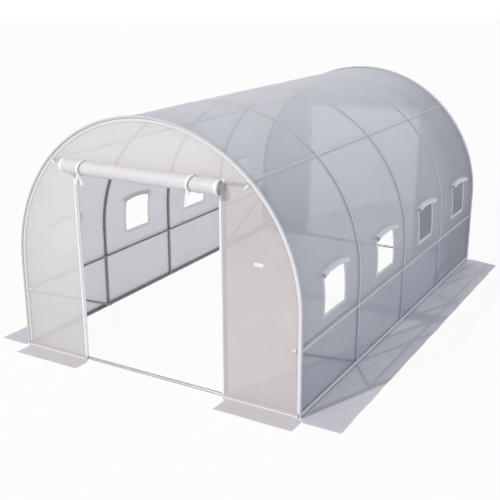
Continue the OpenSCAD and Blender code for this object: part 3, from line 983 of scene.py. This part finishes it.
def wound(radius, pitch, turns, seam, half, steps_along, parts=24):
    """A sheet that comes down from a seam and is rolled up outwards, along X, with the wall at its +Y side.
    The map runs down the sheet and along the roll. Gives the shape and the sheet's length before rolling."""
    shape = bmesh.new()
    points = [(-half, radius, seam * (1 - k / 3)) for k in range(3)]
    for k in range(int(turns * parts) + 1):
        a = 2 * math.pi * k / parts
        r = radius - pitch * k / parts
        points.append((-half, r * math.cos(a), -r * math.sin(a)))
    layer = shape.verts.layers.float.new("wound")
    section, length = chain(shape, points), 0.0
    for edge in section:
        length += (edge.verts[1].co - edge.verts[0].co).length
        edge.verts[1][layer] = length
    draw_out(shape, section, [(2 * half / steps_along, 0, 0)] * steps_along)
    cloth = shape.loops.layers.uv.new("Film")
    for face in shape.faces:
        for loop in face.loops:
            loop[cloth].uv = (loop.vert.co.x, loop.vert[layer])
    return shape, length


def window_flap(side, y0):
    """One rolled flap: wound along X, thickened, bowed, and turned against its side of the tunnel."""
    shape, length = wound(window_flap_r, window_flap_pitch, window_flap_turns, seam_up, roll_half, 22)
    bmesh.ops.reverse_faces(shape, faces=shape.faces)
    for v in shape.verts:
        x, y, z = v.co
        swell = 1 + uneven(x * 11.0, y0, side * 4.0) * window_flap_swell
        swell -= window_flap_nip * max(1 - abs(abs(x) - window_tape_at) / 0.02, 0.0)
        v.co.y = window_flap_r + (y - window_flap_r) * swell
        droop = window_flap_droop * (x / roll_half) ** 2
        v.co.z = z * swell - droop + uneven(x * 6.0, y0 * 2.0, side) * 0.003
    bmesh.ops.solidify(shape, geom=shape.faces[:], thickness=window_flap_t)
    face_out(shape)
    a = math.asin((window_flap_z - wall_h) / (film_r + window_flap_r))
    for v in shape.verts:
        x, y, z = v.co
        out = film_r + border_t - 0.001 + window_flap_r - y
        across, up = out * math.cos(a) - z * math.sin(a), out * math.sin(a) + z * math.cos(a)
        v.co = (side * across, y0 - window_flap_slip + side * x, wall_h + up)
    face_out(shape)
    return shape, length


window_flap_finish = film_finish("Rolled window film", window_flap_shade, window_flap_pass, clear=0.01,
                                 lets_through=0.04, creases=0.6)
for name, side in sides:
    for number, y0 in enumerate(window_ys[side], 1):
        node = f"{name}_window_{number}"
        make_piece(f"{node}_border", border(side, y0), border_finish, "trim", node)
        shape, length = window_flap(side, y0)
        piece = make_piece(f"{node}_flap", shape, window_flap_finish, "film", node)

# Door rolls: each door is one sheet, sewn on above its header and rolled up outwards by hand.
# It is wider than the doorway, has a white hem down both sides, and two tapes hold it up.
door_roll_low, door_roll_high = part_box("front_door_roll")
door_roll_half = (door_roll_high.x - door_roll_low.x) / 2
door_roll_r = (door_roll_high.y - door_roll_low.y) / 2 + 0.0005
door_roll_x = (door_roll_high.x + door_roll_low.x) / 2
door_roll_y = door_roll_high.y - door_roll_r
door_roll_z = door_roll_low.z + door_roll_r
door_roll_sag = 0.006
door_roll_t = 0.0009
door_seam = header_z + 2 * tube_r - door_roll_z
door_pitch = 0.0047
door_turns = 8.4
swollen_at, swollen = 0.497, 0.9
nip_reach, nip_depth = 0.035, 0.05
door_roll_shrink = 0.02
roll_shade = (0.88, 0.855, 0.87, 1.0)
roll_pass = (0.95, 0.94, 0.95, 1.0)
roll_hem_shade = (0.97, 0.97, 0.97, 1.0)
tie_w = 0.024
tie_t = 0.0012
tie_reach = door_roll_r * 1.02 + 0.0015
knot_r, knot_rough = 0.010, 0.35
tie_start, tie_knot, tie_end = 60, 228, 338
tie_places = ((-0.521, -0.528, ((-0.035, -0.070), (0.024, -0.070))),
              (0.440, 0.429, ((-0.016, -0.110), (0.032, -0.046))))


def roll_ends(tree, place):
    """The white hems down both sides of a door, which show as rings at the ends of its roll."""
    from_middle = sums(tree, "ABSOLUTE", split(tree, place["UV"])["X"])
    return soft_band(tree, from_middle, door_roll_half - 0.014, 0.012, 0.002), 0.0, white[:3]


def door_roll(end):
    """One rolled door, tighter under its tapes and a little uneven along its length."""
    shape, length = wound(door_roll_r, door_pitch, door_turns, door_seam, door_roll_half, 72, parts=28)
    for v in shape.verts:
        x, y, z = v.co
        if z > 0 and y > door_roll_r - 0.0005:
            continue
        at = x + door_roll_x
        nip = sum(max(1 - abs(at - t) / nip_reach, 0.0) for t, _, _ in tie_places)
        nip -= swollen * max(1 - abs(at - swollen_at) / nip_reach, 0.0)
        puff = uneven(x * 5.0, 1.0, 0.0) * 0.035 + uneven(x * 17.0, 4.0, z * 9) * 0.02
        scale = 1 + puff - nip_depth * nip - door_roll_shrink
        v.co.y = door_roll_r + (y - door_roll_r) * scale
        v.co.z = z * scale + uneven(x * 2.5, 6.0, 0.0) * 0.003 - door_roll_sag * (0.5 + at / 1.4)
    bmesh.ops.solidify(shape, geom=shape.faces[:], thickness=door_roll_t)
    face_out(shape)
    bmesh.ops.translate(shape, vec=(door_roll_x, door_roll_y, door_roll_z), verts=shape.verts)
    turn_to(shape, end)
    return shape, length


def tape(shape, start, path, width):
    """Draws a flat tape of a width along X through a list of steps in Y and Z."""
    line = chain(shape, [start + Vector((s * width / 2, 0, 0)) for s in (-1, 1)])
    first = set(shape.faces)
    draw_out(shape, line, path)
    bmesh.ops.solidify(shape, geom=[f for f in shape.faces if f not in first], thickness=tie_t)


def round_roll(x, degrees):
    """The place on a tape round the roll, from its back over its top to its front and under it."""
    a = math.radians(degrees)
    return Vector((x, door_roll_r + (math.cos(a) - 1) * tie_reach, math.sin(a) * tie_reach))


def door_ties(end):
    """Two tapes from the seam round the roll, each with a knot low on its front and two loose tails."""
    shape = bmesh.new()
    for x, knot_x, tails in tie_places:
        path = [Vector((x, door_roll_r - 0.001, door_seam))]
        for k in range(19):
            at = x + (knot_x - x) * k / 18 + 0.006 * math.sin(math.pi * k / 9)
            path.append(round_roll(at, tie_start + (tie_knot - tie_start) * k / 18))
        under = [round_roll(knot_x, tie_knot + (tie_end - tie_knot) * k / 9) for k in range(10)]
        for way, width in ((path, tie_w), (under, tie_w * 0.8)):
            tape(shape, way[0], [b - a for a, b in zip(way, way[1:])], width)
        foot = path[-1] + Vector((0, -0.004, -0.006))
        knot = bmesh.ops.create_icosphere(shape, subdivisions=2, radius=knot_r)["verts"]
        for v in knot:
            v.co *= 1 + uneven(*(v.co * 160)) * knot_rough
        bmesh.ops.scale(shape, vec=(1.3, 0.7, 0.75), verts=knot)
        bmesh.ops.translate(shape, vec=foot, verts=knot)
        for number, (dx, dz) in enumerate(tails):
            down = [Vector((dx / 8, -0.002 * math.cos(k * 0.7 + number * 2), dz / 8)) for k in range(8)]
            tape(shape, foot + Vector((dx * 0.1, 0.002 * number - 0.001, -0.002)), down, tie_w * 0.8)
    face_out(shape)
    bmesh.ops.translate(shape, vec=(0, door_roll_y, door_roll_z), verts=shape.verts)
    turn_to(shape, end)
    return shape


roll_finish = film_finish("Rolled film", roll_shade, roll_pass, clear=0.01, lets_through=0.22, creases=0.6,
                          lines=roll_ends, backing_and_highlight_colour=roll_hem_shade)
tape_finish = trim_finish("White woven tape", (0.98, 0.98, 0.98, 1.0), 0.003)
for end in ends:
    ties = make_piece(f"{end}_ties", door_ties(end), tape_finish, "tape", f"{end}_roll_ties")
    shape, length = door_roll(end)
    piece = make_piece(f"{end}_rolled_door", shape, roll_finish, "film", f"{end}_door_roll")

# Tie tabs and label: short ends of white tape come out where the end wall is tied to the tubes behind it.
# A small blank patch of white tape is sewn on the right side of the front end wall.
tab_w, tab_t = 0.015, 0.0022
tabs_at = ((0.8365, 1.607, 0.733, 0.045), (-0.862, 1.600, -0.75, 0.045),
           (1.214, 0.503, 0.7, 0.024), (-1.214, 0.503, -0.7, 0.024))
label_x, label_z = 0.932, 1.074
label_w, label_h, label_t = 0.072, 0.025, 0.0014
patch_lift = 0.0002


def patch(x, z, width, height, tilt, thickness):
    """A flat patch with rounded edges on the front end wall."""
    shape = bmesh.new()
    bmesh.ops.create_cube(shape, size=1.0)
    bmesh.ops.scale(shape, vec=(width, thickness, height), verts=shape.verts)
    bmesh.ops.bevel(shape, geom=shape.edges[:], offset=thickness * 0.4, offset_type="OFFSET", segments=2,
                    profile=0.5, affect="EDGES", material=-1)
    place = Matrix.Translation((x, -end_film_y - thickness / 2 - patch_lift, z))
    bmesh.ops.transform(shape, matrix=place @ Matrix.Rotation(-tilt, 4, "Y"), verts=shape.verts)
    return shape


for end in ends:
    for number, (x, z, tilt, tab_l) in enumerate(tabs_at, 1):
        shape = patch(x, z, tab_l, tab_w, tilt, tab_t)
        turn_to(shape, end)
        make_piece(f"{end}_tie_tab_{number}", shape, tape_finish, "tape")
make_piece("blank_label", patch(label_x, label_z, label_w, label_h, 0.0, label_t), tape_finish, "tape")
